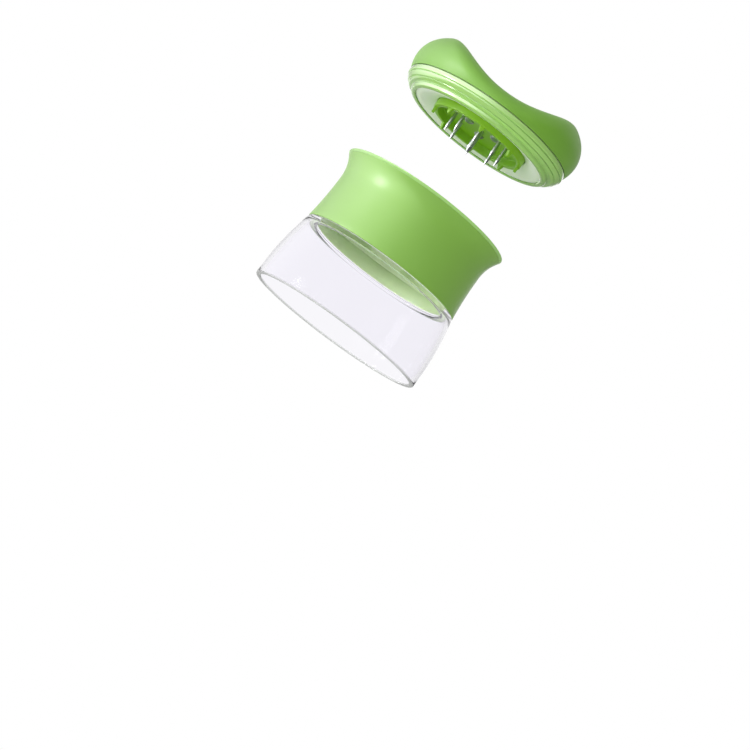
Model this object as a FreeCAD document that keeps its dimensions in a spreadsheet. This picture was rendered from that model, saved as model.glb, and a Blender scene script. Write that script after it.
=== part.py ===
import FreeCAD, Part
import math
import os
import Sketcher
from FreeCAD import Vector

doc = FreeCAD.newDocument("Spiralizer")

# The driving sizes, in millimetres and degrees. The origin is the middle of the cup's open foot, +Z runs up
# the tool's axis to the handle, and +X and -X run through the handle's two lobes.
driving_sizes = {
    # radii of the body, from the throat outwards
    "throat_radius": 29.0,
    "floor_land": 4.4,
    "floor_play": 1.5,
    "shell_wall": 1.3,
    "grip_thickness": 1.3,
    "rim_flare": 4.0,
    "collar_foot_flare": 1.4,
    # heights of the body
    "cup_height": 34.0,
    "collar_height": 34.0,
    "waist_rise": 22.0,
    "floor_rise": 14.0,
    # clear cup
    "cup_step": 0.1,
    "cup_flare": 3.5,
    "cup_foot_height": 5.0,
    "cup_foot_width": 2.5,
    "cup_wall": 2.0,
    "cup_bore_flare": 0.8,
    "cup_bore_start": 4.5,
    "cup_shoulder": 2.0,
    "cup_edge": 0.8,
    "neck_height": 9.0,
    "neck_wall": 1.4,
    "neck_play": 0.05,
    "bead_rise": 6.0,
    "bead_width": 1.6,
    "bead_depth": 0.4,
    # collar
    "grip_edge": 0.5,
    # feed funnel
    "rim_width": 5.0,
    "rim_flange": 1.2,
    "rim_edge": 0.5,
    "mouth_play": 0.4,
    "mouth_depth": 3.0,
    "mouth_floor": 0.8,
    "mouth_ledge": 3.1,
    "funnel_wall": 1.3,
    "funnel_flange": 2.0,
    "funnel_boss_height": 5.0,
    "funnel_boss_edge": 0.2,
    # blade carrier
    "carrier_thickness": 3.0,
    "noodle_height": 3.5,
    "slot_inner": 6.4,
    "slot_margin": 2.4,
    "slot_width": 7.6,
    "ramp_land": 11.2,
    "ramp_length": 9.0,
    "throat_play": 0.3,
    "core_boss_wall": 1.4,
    "core_boss_height": 2.0,
    # blades
    "blade_thickness": 0.7,
    "blade_width": 12.0,
    "blade_overhang": 1.2,
    "blade_bevel": 2.2,
    "comb_thickness": 0.5,
    "comb_width": 4.6,
    "comb_inner_overlap": 0.2,
    "comb_outer_overlap": 1.6,
    "comb_first_tooth": 10.6,
    "comb_last_margin": 1.1,
    "comb_teeth": 4,
    "comb_tooth_height": 3.3,
    "comb_tooth_length": 3.4,
    "core_cutter_radius": 4.6,
    "core_cutter_wall": 0.7,
    "core_cutter_height": 7.2,
    "core_cutter_flange": 0.9,
    # holder ring, as it is lifted above its seat on the collar
    "holder_lift": 40.7,
    "ring_overhang": 0.1,
    "ring_height": 5.4,
    "ring_band": 2.2,
    "ring_groove": 0.45,
    "ring_groove_depth": 0.9,
    "ring_lower_step": 0.5,
    "ring_taper": 2.8,
    "ring_bulge": 8.0,
    "ring_edge": 0.6,
    "ring_lower_edge": 0.3,
    "plate_thickness": 1.8,
    "lip_wall": 2.4,
    "lip_drop": 1.9,
    "lip_edge": 1.1,
    "lip_bead": 0.6,
    "ledge_width": 2.4,
    # guard disc
    "disc_recess": 0.6,
    "disc_thickness": 1.2,
    "disc_dish": 2.4,
    "disc_play": 0.3,
    # gripper hub
    "hub_radius": 23.5,
    "hub_drop": 0.3,
    "hub_wall": 2.4,
    "hub_ceiling_thickness": 2.2,
    "tooth_count": 8,
    "tooth_width": 3.0,
    "tooth_height": 2.6,
    "tooth_tip": 0.7,
    "tooth_inset": 0.4,
    "pin_count": 8,
    "pin_circle": 13.5,
    "pin_radius": 0.8,
    "pin_reach": 9.5,
    "pin_root": 1.8,
    "pin_point": 2.6,
    "spike_radius": 1.3,
    "spike_reach": 11.6,
    # handle
    "handle_overhang": 1.6,
    "handle_foot_step": 1.7,
    "handle_side_height": 6.9,
    "handle_corner": 12.9,
    "saddle_height": 7.5,
    "saddle_radius": 42.0,
    "handle_edge": 6.0,
    "skin_thickness": 2.0,
    "core_wall": 2.2,
    "handle_boss_radius": 3.2,
    # screws and rivets
    "screw_radius": 1.3,
    "screw_point": 0.5,
    "screw_head_radius": 2.4,
    "screw_head_height": 1.5,
    "screw_play": 0.05,
    "screw_end_play": 0.5,
    "blade_screw_sink": 1.8,
    "blade_screw_margin": 3.6,
    "carrier_screw_bite": 3.0,
    "carrier_screw_count": 3,
    "hub_screw_roof": 1.5,
    "hub_screw_circle": 8.0,
    "hub_screw_count": 3,
    "ring_screw_bite": 5.5,
    "ring_screw_angle": 20.0,
    "rivet_radius": 1.0,
    "rivet_head_radius": 1.7,
    "rivet_head_height": 0.5,
}

sheet = doc.addObject("Spreadsheet::Sheet", "Sizes")
for row, (alias, value) in enumerate(driving_sizes.items(), start=1):
    sheet.set(f"A{row}", alias)
    sheet.set(f"B{row}", str(value))
    sheet.setAlias(f"B{row}", alias)
doc.recompute()


class Size:
    """A number together with the sheet formula that it comes from."""

    def __init__(self, value, formula):
        self.value = value
        self.formula = formula

    def __add__(self, other):
        other = as_size(other)
        return Size(self.value + other.value, f"({self.formula} + {other.formula})")

    def __sub__(self, other):
        other = as_size(other)
        return Size(self.value - other.value, f"({self.formula} - {other.formula})")

    def __mul__(self, other):
        other = as_size(other)
        return Size(self.value * other.value, f"({self.formula} * {other.formula})")

    def __truediv__(self, other):
        other = as_size(other)
        return Size(self.value / other.value, f"({self.formula} / {other.formula})")

    def __neg__(self):
        return Size(-self.value, f"(0 - {self.formula})")


def as_size(number):
    if isinstance(number, Size):
        return number
    return Size(float(number), f"{float(number):g}")


def root(size):
    return Size(math.sqrt(size.value), f"sqrt({size.formula})")


class SheetSizes:
    """Hands out each cell of the sheet by its alias."""

    def __getattr__(self, alias):
        return Size(float(sheet.get(alias)), f"Sizes.{alias}")


mm = SheetSizes()
zero = as_size(0)

# Radii that several pieces share
floor_radius = mm.throat_radius + mm.floor_land
shell_bore = floor_radius + mm.floor_play
waist_radius = shell_bore + mm.shell_wall + mm.grip_thickness
rim_radius = waist_radius + mm.rim_flare
collar_foot = waist_radius + mm.collar_foot_flare
lip_radius = rim_radius - mm.rim_width
lip_inner = lip_radius - mm.lip_wall
mouth_radius = lip_radius + mm.mouth_play
ledge_radius = mouth_radius - mm.mouth_ledge
ring_radius = rim_radius + mm.ring_overhang
cavity_radius = lip_inner - mm.ledge_width
carrier_screw_circle = (mm.throat_radius + floor_radius) / 2
ring_screw_circle = (mm.hub_radius + cavity_radius) / 2
screw_hole = mm.screw_radius + mm.screw_play
slot_outer = mm.throat_radius - mm.slot_margin

# Heights that several pieces share
collar_bottom = mm.cup_height
collar_top = collar_bottom + mm.collar_height
waist_height = collar_bottom + mm.waist_rise
flange_bottom = collar_top - mm.rim_flange
mouth_bottom = collar_top - mm.mouth_depth
shell_top = mouth_bottom - mm.mouth_floor
bead_bottom = collar_bottom + mm.bead_rise
bead_middle = bead_bottom + mm.bead_width / 2
bead_top = bead_bottom + mm.bead_width
floor_top = collar_bottom + mm.floor_rise
floor_bottom = floor_top - mm.carrier_thickness
blade_level = floor_top + mm.noodle_height
blade_top = blade_level + mm.blade_thickness
blade_seat = floor_bottom + mm.blade_screw_sink
ring_bottom = collar_top + mm.holder_lift
ring_top = ring_bottom + mm.ring_height
plate_bottom = ring_top - mm.plate_thickness
lip_bottom = ring_bottom - mm.lip_drop
disc_bottom = lip_bottom + mm.disc_recess
disc_top = disc_bottom + mm.disc_thickness
hub_bottom = lip_bottom - mm.hub_drop
hub_ceiling = plate_bottom - mm.hub_ceiling_thickness
handle_side = ring_top + mm.handle_side_height
handle_top = handle_side + mm.handle_corner
hub_screw_bite = mm.saddle_height - mm.skin_thickness - mm.hub_screw_roof

pieces = []


def tie(thing, property_name, size):
    """Binds one property to its formula in the sheet."""
    thing.setExpression(property_name, size.formula)


def origin_feature(body, role):
    for feature in body.Origin.OriginFeatures:
        if feature.Role == role:
            return feature
    raise ValueError(role)


def new_body(name):
    return doc.addObject("PartDesign::Body", name)


def keep(thing, label):
    """Marks a finished piece, whose label is its node's name."""
    thing.Label = label
    pieces.append(thing)


def tie_placement(thing, x=zero, y=zero, z=zero):
    tie(thing, "Placement.Base.x", x)
    tie(thing, "Placement.Base.y", y)
    tie(thing, "Placement.Base.z", z)


def new_sketch(body, plane, name, level=None):
    sketch = body.newObject("Sketcher::SketchObject", name)
    sketch.AttachmentSupport = [(origin_feature(body, plane), "")]
    sketch.MapMode = "FlatFace"
    if level is not None:
        tie(sketch, "AttachmentOffset.Base.z", level)
    return sketch


def tie_distance(sketch, direction, geometry, end, size):
    """Fixes one coordinate of a point, measured from the sketch's origin."""
    axis = -2 if direction == "DistanceX" else -1
    if abs(size.value) < 1e-9:
        sketch.addConstraint(Sketcher.Constraint("PointOnObject", geometry, end, axis))
        return
    if size.value > 0:
        ends = (-1, 1, geometry, end)
    else:
        ends = (geometry, end, -1, 1)
        size = -size
    index = sketch.addConstraint(Sketcher.Constraint(direction, *ends, size.value))
    tie(sketch, f"Constraints[{index}]", size)


def line_to(x, y):
    return as_size(x), as_size(y), None, 0


def arc_to(x, y, radius, turn):
    """A round step. The outline turns left (1) or right (-1) along it."""
    return as_size(x), as_size(y), radius, turn


def arc_curve(first, last, radius, turn):
    chord = last - first
    half = chord.Length / 2
    rise = math.sqrt(max(radius * radius - half * half, 0))
    side = Vector(-chord.y, chord.x, 0).normalize() * (turn * rise)
    centre = (first + last) * 0.5 + side
    begin, finish = (first, last) if turn > 0 else (last, first)
    start_angle = math.atan2(begin.y - centre.y, begin.x - centre.x)
    end_angle = math.atan2(finish.y - centre.y, finish.x - centre.x)
    if end_angle < start_angle:
        end_angle += 2 * math.pi
    return Part.ArcOfCircle(Part.Circle(centre, Vector(0, 0, 1), radius), start_angle, end_angle)


def draw_outline(sketch, steps):
    """Draws a closed outline. Each step goes on from the one before, and the last meets the first."""
    points = [Vector(step[0].value, step[1].value, 0) for step in steps]
    ends = []
    for number, (x, y, radius, turn) in enumerate(steps):
        first, last = points[number - 1], points[number]
        if radius is None:
            index = sketch.addGeometry(Part.LineSegment(first, last), False)
            ends.append((index, 1, 2))
        else:
            index = sketch.addGeometry(arc_curve(first, last, radius.value, turn), False)
            ends.append((index, 1, 2) if turn > 0 else (index, 2, 1))
    for number, (index, start, finish) in enumerate(ends):
        before = ends[number - 1]
        sketch.addConstraint(Sketcher.Constraint("Coincident", before[0], before[2], index, start))
    for (x, y, radius, turn), (index, start, finish) in zip(steps, ends):
        tie_distance(sketch, "DistanceX", index, finish, x)
        tie_distance(sketch, "DistanceY", index, finish, y)
        if radius is not None:
            constraint = sketch.addConstraint(Sketcher.Constraint("Radius", index, radius.value))
            tie(sketch, f"Constraints[{constraint}]", radius)


def draw_circle(sketch, x, y, radius):
    x, y = as_size(x), as_size(y)
    circle = Part.Circle(Vector(x.value, y.value, 0), Vector(0, 0, 1), radius.value)
    index = sketch.addGeometry(circle, False)
    tie_distance(sketch, "DistanceX", index, 3, x)
    tie_distance(sketch, "DistanceY", index, 3, y)
    constraint = sketch.addConstraint(Sketcher.Constraint("Radius", index, radius.value))
    tie(sketch, f"Constraints[{constraint}]", radius)


def revolve(body, name, steps):
    sketch = new_sketch(body, "XZ_Plane", name + "_outline")
    draw_outline(sketch, steps)
    feature = body.newObject("PartDesign::Revolution", name)
    feature.Profile = sketch
    feature.ReferenceAxis = (sketch, ["V_Axis"])
    feature.Angle = 360
    doc.recompute()


def groove(body, name, steps):
    """Cuts an outline out of the solid all the way round, and stops if that cuts nothing."""
    before = body.Shape.Volume
    sketch = new_sketch(body, "XZ_Plane", name + "_outline")
    draw_outline(sketch, steps)
    feature = body.newObject("PartDesign::Groove", name)
    feature.Profile = sketch
    feature.ReferenceAxis = (sketch, ["V_Axis"])
    feature.Angle = 360
    doc.recompute()
    check_cut(body, name, before)


def check_cut(body, name, before):
    if not body.Shape.Volume < before:
        raise RuntimeError(f"{name} cuts nothing")


def pad(body, name, sketch, length):
    feature = body.newObject("PartDesign::Pad", name)
    feature.Profile = sketch
    tie(feature, "Length", length)
    doc.recompute()
    return feature


def pocket(body, name, sketch, length):
    """Cuts a pocket upwards from its sketch, and stops if that cuts nothing."""
    before = body.Shape.Volume
    feature = body.newObject("PartDesign::Pocket", name)
    feature.Profile = sketch
    tie(feature, "Length", length)
    feature.Reversed = True
    doc.recompute()
    check_cut(body, name, before)
    return feature


def polar_pattern(body, name, feature, count):
    pattern = body.newObject("PartDesign::PolarPattern", name)
    pattern.Originals = [feature]
    pattern.Axis = (origin_feature(body, "Z_Axis"), [""])
    pattern.Angle = 360
    tie(pattern, "Occurrences", count)
    body.Tip = pattern
    doc.recompute()


def rim_edges(shape, *rims):
    """The names of the round edges that lie at the given radius and height."""
    names = []
    for index, edge in enumerate(shape.Edges, start=1):
        curve = edge.Curve
        if not isinstance(curve, Part.Circle):
            continue
        for radius, height in rims:
            same_radius = abs(curve.Radius - radius.value) < 1e-4
            if same_radius and abs(curve.Center.z - height.value) < 1e-4:
                names.append(f"Edge{index}")
    return names


def fillet(body, name, edges, radius):
    base = body.Tip
    feature = body.newObject("PartDesign::Fillet", name)
    feature.Base = (base, edges)
    tie(feature, "Radius", radius)
    doc.recompute()


def round_rims(body, name, radius, *rims):
    fillet(body, name, rim_edges(body.Shape, *rims), radius)


def vertical_holes(body, name, places, radius, bottom, top):
    """Round holes straight through a span of heights."""
    sketch = new_sketch(body, "XY_Plane", name + "_circles", bottom)
    for x, y in places:
        draw_circle(sketch, x, y, radius)
    pocket(body, name, sketch, top - bottom)


def at_angle(radius, degrees):
    """A place on a circle, tied to the circle's radius."""
    angle = math.radians(degrees)
    return radius * round(math.cos(angle), 12), radius * round(math.sin(angle), 12)


def circle_places(radius, count, start):
    number = round(count.value)
    return [at_angle(radius, start + 360 * turn / number) for turn in range(number)]


def carrier_screw_places():
    return circle_places(carrier_screw_circle, mm.carrier_screw_count, 90)


def hub_screw_places():
    return circle_places(mm.hub_screw_circle, mm.hub_screw_count, 90)


def ring_screw_places():
    """Two screws under each of the handle's lobes."""
    spread = mm.ring_screw_angle.value
    return [at_angle(ring_screw_circle, angle) for angle in (spread, 180 - spread, 180 + spread, -spread)]


def pin_places():
    return circle_places(mm.pin_circle, mm.pin_count, 0)


def blade_screw_places():
    """Two places near the blade's ends, over the middle of the ramp's land."""
    y = mm.slot_width + mm.ramp_land / 2
    return [(-(mm.slot_inner + mm.blade_screw_margin), y), (-(slot_outer - mm.blade_screw_margin), y)]


def comb_ends():
    """The comb strip's two ends, as distances from the axis."""
    return mm.slot_inner - mm.comb_inner_overlap, slot_outer + mm.comb_outer_overlap


def rivet_places():
    inner, outer = comb_ends()
    y = -(mm.comb_width / 2)
    return [(-(inner + mm.rivet_head_radius), y), (-(outer - mm.rivet_head_radius), y)]


def comb_pitch():
    """The teeth share out the strip from the first tooth to just short of the outer rivet's head."""
    last_tooth = comb_ends()[1] - mm.rivet_head_radius * 2 - mm.comb_last_margin - mm.comb_thickness
    return (last_tooth - mm.comb_first_tooth) / (mm.comb_teeth - 1)


def oblong(inner, outer, front, back):
    """An outline on the slot's side of the axis, from front to back across it."""
    return [
        line_to(-inner, front),
        line_to(-inner, back),
        line_to(-outer, back),
        line_to(-outer, front),
    ]


def collar_bend(flare, height):
    """The radius of a bend that leaves the waist upright and flares out by a given step."""
    rise = height - waist_height
    return (flare * flare + rise * rise) / (flare * 2)


upper_bend = collar_bend(mm.rim_flare, collar_top)
lower_bend = collar_bend(mm.collar_foot_flare, collar_bottom)


def collar_radius(bend, inset, height):
    """The collar's radius at a height, on the surface that lies inset under its skin."""
    rise = height - waist_height
    reach = bend + inset
    return waist_radius + bend - root(reach * reach - rise * rise)


def make_clear_cup():
    body = new_body("ClearCup")
    top_radius = collar_foot - mm.cup_step
    foot_radius = top_radius + mm.cup_flare
    bore_top = top_radius - mm.cup_wall
    bore_shoulder = collar_bottom - mm.cup_shoulder
    foot_inner = foot_radius - mm.cup_foot_width
    rise = collar_bottom - mm.cup_foot_height
    bell = (mm.cup_flare * mm.cup_flare + rise * rise) / (mm.cup_flare * 2)
    neck_outer = shell_bore - mm.neck_play
    neck_inner = neck_outer - mm.neck_wall
    neck_top = collar_bottom + mm.neck_height
    revolve(body, "CupWall", [
        line_to(foot_radius, zero),
        line_to(foot_radius, mm.cup_foot_height),
        arc_to(top_radius, collar_bottom, bell, 1),
        line_to(neck_outer, collar_bottom),
        line_to(neck_outer, bead_bottom),
        line_to(neck_outer + mm.bead_depth, bead_middle),
        line_to(neck_outer, bead_top),
        line_to(neck_outer, neck_top),
        line_to(neck_inner, neck_top),
        line_to(neck_inner, bore_shoulder),
        line_to(bore_top, bore_shoulder),
        line_to(bore_top + mm.cup_bore_flare, mm.cup_bore_start),
        line_to(foot_inner, zero),
    ])
    round_rims(body, "CupEdges", mm.cup_edge,
               (foot_radius, zero), (foot_inner, zero), (bore_top, bore_shoulder))
    keep(body, "clear_cup")


def make_collar_shell():
    body = new_body("CollarShell")
    outer = mm.grip_thickness
    inner = mm.grip_thickness + mm.shell_wall
    revolve(body, "ShellWall", [
        line_to(collar_radius(lower_bend, outer, collar_bottom), collar_bottom),
        arc_to(waist_radius - outer, waist_height, lower_bend + outer, -1),
        arc_to(collar_radius(upper_bend, outer, shell_top), shell_top, upper_bend + outer, -1),
        line_to(collar_radius(upper_bend, inner, shell_top), shell_top),
        arc_to(shell_bore, waist_height, upper_bend + inner, 1),
        line_to(shell_bore, bead_top),
        line_to(shell_bore + mm.bead_depth, bead_middle),
        line_to(shell_bore, bead_bottom),
        line_to(shell_bore, collar_bottom),
    ])
    keep(body, "collar_shell")


def make_grip_sleeve():
    body = new_body("GripSleeve")
    inner = mm.grip_thickness
    revolve(body, "SleeveWall", [
        line_to(collar_foot, collar_bottom),
        arc_to(waist_radius, waist_height, lower_bend, -1),
        arc_to(collar_radius(upper_bend, zero, flange_bottom), flange_bottom, upper_bend, -1),
        line_to(collar_radius(upper_bend, inner, flange_bottom), flange_bottom),
        arc_to(waist_radius - inner, waist_height, upper_bend + inner, 1),
        arc_to(collar_radius(lower_bend, inner, collar_bottom), collar_bottom, lower_bend + inner, 1),
    ])
    round_rims(body, "SleeveEdge", mm.grip_edge, (collar_foot, collar_bottom))
    keep(body, "grip_sleeve")


def make_feed_funnel():
    """The funnel is turned solid, given its bosses, and then bored."""
    body = new_body("FeedFunnel")
    inner = mm.grip_thickness
    funnel_flange_top = floor_top + mm.funnel_flange
    revolve(body, "FunnelForm", [
        line_to(collar_radius(upper_bend, zero, flange_bottom), flange_bottom),
        arc_to(rim_radius, collar_top, upper_bend, -1),
        line_to(zero, collar_top),
        line_to(zero, floor_top),
        line_to(floor_radius, floor_top),
        line_to(floor_radius, funnel_flange_top),
        line_to(mm.throat_radius + mm.funnel_wall, funnel_flange_top),
        line_to(ledge_radius + mm.funnel_wall, shell_top - mm.funnel_wall),
        line_to(ledge_radius + mm.funnel_wall, shell_top),
        line_to(collar_radius(upper_bend, inner, shell_top), shell_top),
        arc_to(collar_radius(upper_bend, inner, flange_bottom), flange_bottom, upper_bend + inner, -1),
    ])
    bosses = new_sketch(body, "XY_Plane", "FunnelBossCircles", floor_top)
    for x, y in carrier_screw_places():
        draw_circle(bosses, x, y, mm.floor_land / 2 - mm.funnel_boss_edge)
    pad(body, "FunnelBosses", bosses, mm.funnel_boss_height)
    groove(body, "FunnelBore", [
        line_to(zero, collar_top),
        line_to(mouth_radius, collar_top),
        line_to(mouth_radius, mouth_bottom),
        line_to(ledge_radius, mouth_bottom),
        line_to(mm.throat_radius, funnel_flange_top),
        line_to(mm.throat_radius, floor_top),
        line_to(zero, floor_top),
    ])
    round_rims(body, "FunnelRimEdges", mm.rim_edge, (rim_radius, collar_top), (mouth_radius, collar_top))
    pilot_top = floor_top + mm.carrier_screw_bite + mm.screw_end_play
    vertical_holes(body, "FunnelPilots", carrier_screw_places(), screw_hole, floor_top, pilot_top)
    keep(body, "feed_funnel")


def trim_to_throat(body, name, bottom, top):
    """Cuts away what would foul the funnel's wall, between two heights."""
    sketch = new_sketch(body, "XY_Plane", name + "_circles", bottom)
    draw_circle(sketch, zero, zero, rim_radius)
    draw_circle(sketch, zero, zero, mm.throat_radius - mm.throat_play)
    pocket(body, name, sketch, top - bottom)


def make_blade_carrier():
    body = new_body("BladeCarrier")
    boss_radius = mm.core_cutter_radius + mm.core_boss_wall
    boss_top = floor_top + mm.core_boss_height
    land_back = mm.slot_width + mm.ramp_land
    revolve(body, "CarrierDisc", [
        line_to(floor_radius, floor_bottom),
        line_to(floor_radius, floor_top),
        line_to(boss_radius, floor_top),
        line_to(boss_radius, boss_top),
        line_to(mm.core_cutter_radius, boss_top),
        line_to(mm.core_cutter_radius, floor_bottom),
    ])
    side = new_sketch(body, "YZ_Plane", "RampSide", -slot_outer)
    draw_outline(side, [
        line_to(mm.slot_width, floor_top),
        line_to(land_back + mm.ramp_length, floor_top),
        line_to(land_back, blade_level),
        line_to(mm.slot_width, blade_level),
    ])
    pad(body, "Ramp", side, slot_outer - mm.slot_inner)
    trim_to_throat(body, "RampTrim", floor_top, blade_level)
    slot = new_sketch(body, "XY_Plane", "SlotOutline", floor_bottom)
    draw_outline(slot, oblong(mm.slot_inner, slot_outer, zero, mm.slot_width))
    pocket(body, "NoodleSlot", slot, mm.carrier_thickness)
    recess = new_sketch(body, "XY_Plane", "CombRecessOutline", floor_top - mm.comb_thickness)
    draw_outline(recess, oblong(*comb_ends(), -mm.comb_width, zero))
    pocket(body, "CombRecess", recess, mm.comb_thickness)
    vertical_holes(body, "CarrierHoles", carrier_screw_places(), screw_hole, floor_bottom, floor_top)
    vertical_holes(body, "RivetHoles", rivet_places(), mm.rivet_radius, floor_bottom, floor_top)
    vertical_holes(body, "BladeScrewHoles", blade_screw_places(), screw_hole, floor_bottom, blade_level)
    vertical_holes(body, "BladeScrewSinks", blade_screw_places(), mm.screw_head_radius + mm.screw_play,
                   floor_bottom, blade_seat)
    keep(body, "blade_carrier")


def make_slicing_blade():
    body = new_body("SlicingBlade")
    edge = mm.slot_width - mm.blade_overhang
    back = edge + mm.blade_width
    side = new_sketch(body, "YZ_Plane", "BladeSide", -slot_outer)
    draw_outline(side, [
        line_to(edge, blade_level),
        line_to(back, blade_level),
        line_to(back, blade_top),
        line_to(edge + mm.blade_bevel, blade_top),
    ])
    pad(body, "BladePlate", side, slot_outer - mm.slot_inner)
    trim_to_throat(body, "BladeCorner", blade_level, blade_top)
    vertical_holes(body, "BladeHoles", blade_screw_places(), mm.screw_radius, blade_level, blade_top)
    keep(body, "slicing_blade")


def make_comb_blade():
    body = new_body("CombBlade")
    bottom = floor_top - mm.comb_thickness
    strip = new_sketch(body, "XY_Plane", "CombStripOutline", bottom)
    draw_outline(strip, oblong(*comb_ends(), -mm.comb_width, zero))
    pad(body, "CombStrip", strip, mm.comb_thickness)
    tooth = new_sketch(body, "YZ_Plane", "CombToothSide", -(mm.comb_first_tooth + mm.comb_thickness))
    draw_outline(tooth, [
        line_to(zero, bottom),
        line_to(zero, floor_top + mm.comb_tooth_height),
        line_to(-mm.comb_tooth_length, floor_top),
        line_to(-mm.comb_tooth_length, bottom),
    ])
    first = pad(body, "CombTooth", tooth, mm.comb_thickness)
    pattern = body.newObject("PartDesign::LinearPattern", "CombTeeth")
    pattern.Originals = [first]
    pattern.Direction = (origin_feature(body, "X_Axis"), [""])
    pattern.Reversed = True
    tie(pattern, "Length", comb_pitch() * (mm.comb_teeth - 1))
    tie(pattern, "Occurrences", mm.comb_teeth)
    body.Tip = pattern
    doc.recompute()
    vertical_holes(body, "CombHoles", rivet_places(), mm.rivet_radius, bottom, floor_top)
    keep(body, "comb_blade")


def make_core_cutter():
    body = new_body("CoreCutter")
    bore = mm.core_cutter_radius - mm.core_cutter_wall
    flange_radius = mm.core_cutter_radius + mm.core_cutter_wall
    flange_under = floor_bottom - mm.core_cutter_flange
    top = floor_top + mm.core_cutter_height
    revolve(body, "CutterTube", [
        line_to(flange_radius, flange_under),
        line_to(flange_radius, floor_bottom),
        line_to(mm.core_cutter_radius, floor_bottom),
        line_to(mm.core_cutter_radius, top - mm.core_cutter_wall * 2),
        line_to(bore, top),
        line_to(bore, flange_under),
    ])
    keep(body, "core_cutter")


def make_holder_ring():
    body = new_body("HolderRing")
    band_bottom = ring_top - mm.ring_band
    groove_bottom = band_bottom - mm.ring_groove
    groove_radius = ring_radius - mm.ring_groove_depth
    lower_radius = ring_radius - mm.ring_lower_step
    foot_radius = lower_radius - mm.ring_taper
    ledge = disc_top + mm.disc_play
    bead = disc_bottom - mm.disc_play
    revolve(body, "RingSection", [
        line_to(zero, ring_top),
        line_to(zero, plate_bottom),
        line_to(cavity_radius, plate_bottom),
        line_to(cavity_radius, ledge),
        line_to(lip_inner, ledge),
        line_to(lip_inner, bead),
        line_to(lip_inner - mm.lip_bead, bead),
        line_to(lip_inner, lip_bottom),
        line_to(lip_radius, lip_bottom),
        line_to(lip_radius, ring_bottom),
        line_to(foot_radius, ring_bottom),
        arc_to(lower_radius, groove_bottom, mm.ring_bulge, 1),
        line_to(groove_radius, groove_bottom),
        line_to(groove_radius, band_bottom),
        line_to(ring_radius, band_bottom),
        line_to(ring_radius, ring_top),
    ])
    round_rims(body, "RingBandEdges", mm.ring_edge, (ring_radius, ring_top), (ring_radius, band_bottom))
    round_rims(body, "RingLowerEdge", mm.ring_lower_edge, (foot_radius, ring_bottom))
    round_rims(body, "LipEdge", mm.lip_edge, (lip_radius, lip_bottom))
    vertical_holes(body, "HubScrewHoles", hub_screw_places(), screw_hole, plate_bottom, ring_top)
    vertical_holes(body, "RingScrewHoles", ring_screw_places(), screw_hole, plate_bottom, ring_top)
    keep(body, "holder_ring")


def make_guard_disc():
    """A flat land that runs on the ring's ledge, dished up towards the hub."""
    body = new_body("GuardDisc")
    outer = lip_inner - mm.disc_play
    land = cavity_radius - mm.disc_play
    inner = mm.hub_radius + mm.disc_play
    revolve(body, "DiscSection", [
        line_to(outer, disc_bottom),
        line_to(outer, disc_top),
        line_to(land, disc_top),
        line_to(inner, disc_top + mm.disc_dish),
        line_to(inner, disc_bottom + mm.disc_dish),
        line_to(land, disc_bottom),
    ])
    keep(body, "guard_disc")


def make_gripper_hub():
    body = new_body("GripperHub")
    recess = mm.hub_radius - mm.hub_wall
    revolve(body, "HubDrum", [
        line_to(zero, plate_bottom),
        line_to(zero, hub_ceiling),
        line_to(recess, hub_ceiling),
        line_to(recess, hub_bottom),
        line_to(mm.hub_radius, hub_bottom),
        line_to(mm.hub_radius, plate_bottom),
    ])
    half = mm.tooth_width / 2
    tip = mm.tooth_tip / 2
    tooth_root = hub_bottom + mm.tooth_inset
    tooth_bottom = hub_bottom - mm.tooth_height
    tooth = new_sketch(body, "YZ_Plane", "HubToothSide", recess + mm.tooth_inset)
    draw_outline(tooth, [
        line_to(half, tooth_root),
        line_to(-half, tooth_root),
        line_to(-half, hub_bottom),
        line_to(-tip, tooth_bottom),
        line_to(tip, tooth_bottom),
        line_to(half, hub_bottom),
    ])
    first = pad(body, "HubTooth", tooth, mm.hub_wall - mm.tooth_inset * 2)
    polar_pattern(body, "HubTeeth", first, mm.tooth_count)
    socket_top = hub_ceiling + mm.pin_root
    vertical_holes(body, "HubHoles", hub_screw_places(), screw_hole, hub_ceiling, plate_bottom)
    vertical_holes(body, "PinSockets", pin_places(), mm.pin_radius, hub_ceiling, socket_top)
    vertical_holes(body, "SpikeSocket", [(zero, zero)], mm.spike_radius, hub_ceiling, socket_top)
    keep(body, "gripper_hub")


def make_pin(name, radius, reach):
    """A pointed pin that hangs down from its socket in the hub's ceiling."""
    body = new_body(name)
    tip = hub_ceiling - reach
    revolve(body, name + "Turned", [
        line_to(zero, hub_ceiling + mm.pin_root),
        line_to(zero, tip),
        line_to(radius, tip + mm.pin_point),
        line_to(radius, hub_ceiling + mm.pin_root),
    ])
    return body


def make_screw(name, length):
    """A pan head screw that stands on its head. The head's upper face is at zero and the shank points up."""
    body = new_body(name)
    radius = mm.screw_radius
    head_bottom = -mm.screw_head_height
    revolve(body, name + "Turned", [
        line_to(zero, length),
        line_to(radius - mm.screw_point, length),
        line_to(radius, length - mm.screw_point),
        line_to(radius, zero),
        line_to(mm.screw_head_radius, zero),
        line_to(mm.screw_head_radius, head_bottom / 2),
        line_to(mm.screw_head_radius + head_bottom / 2, head_bottom),
        line_to(zero, head_bottom),
    ])
    return body


def make_rivet(name):
    body = new_body(name)
    head_top = floor_top + mm.rivet_head_height
    revolve(body, name + "Turned", [
        line_to(zero, head_top),
        line_to(zero, floor_bottom),
        line_to(mm.rivet_radius, floor_bottom),
        line_to(mm.rivet_radius, floor_top),
        line_to(mm.rivet_head_radius, floor_top),
        line_to(mm.rivet_head_radius, head_top),
    ])
    return body


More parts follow.
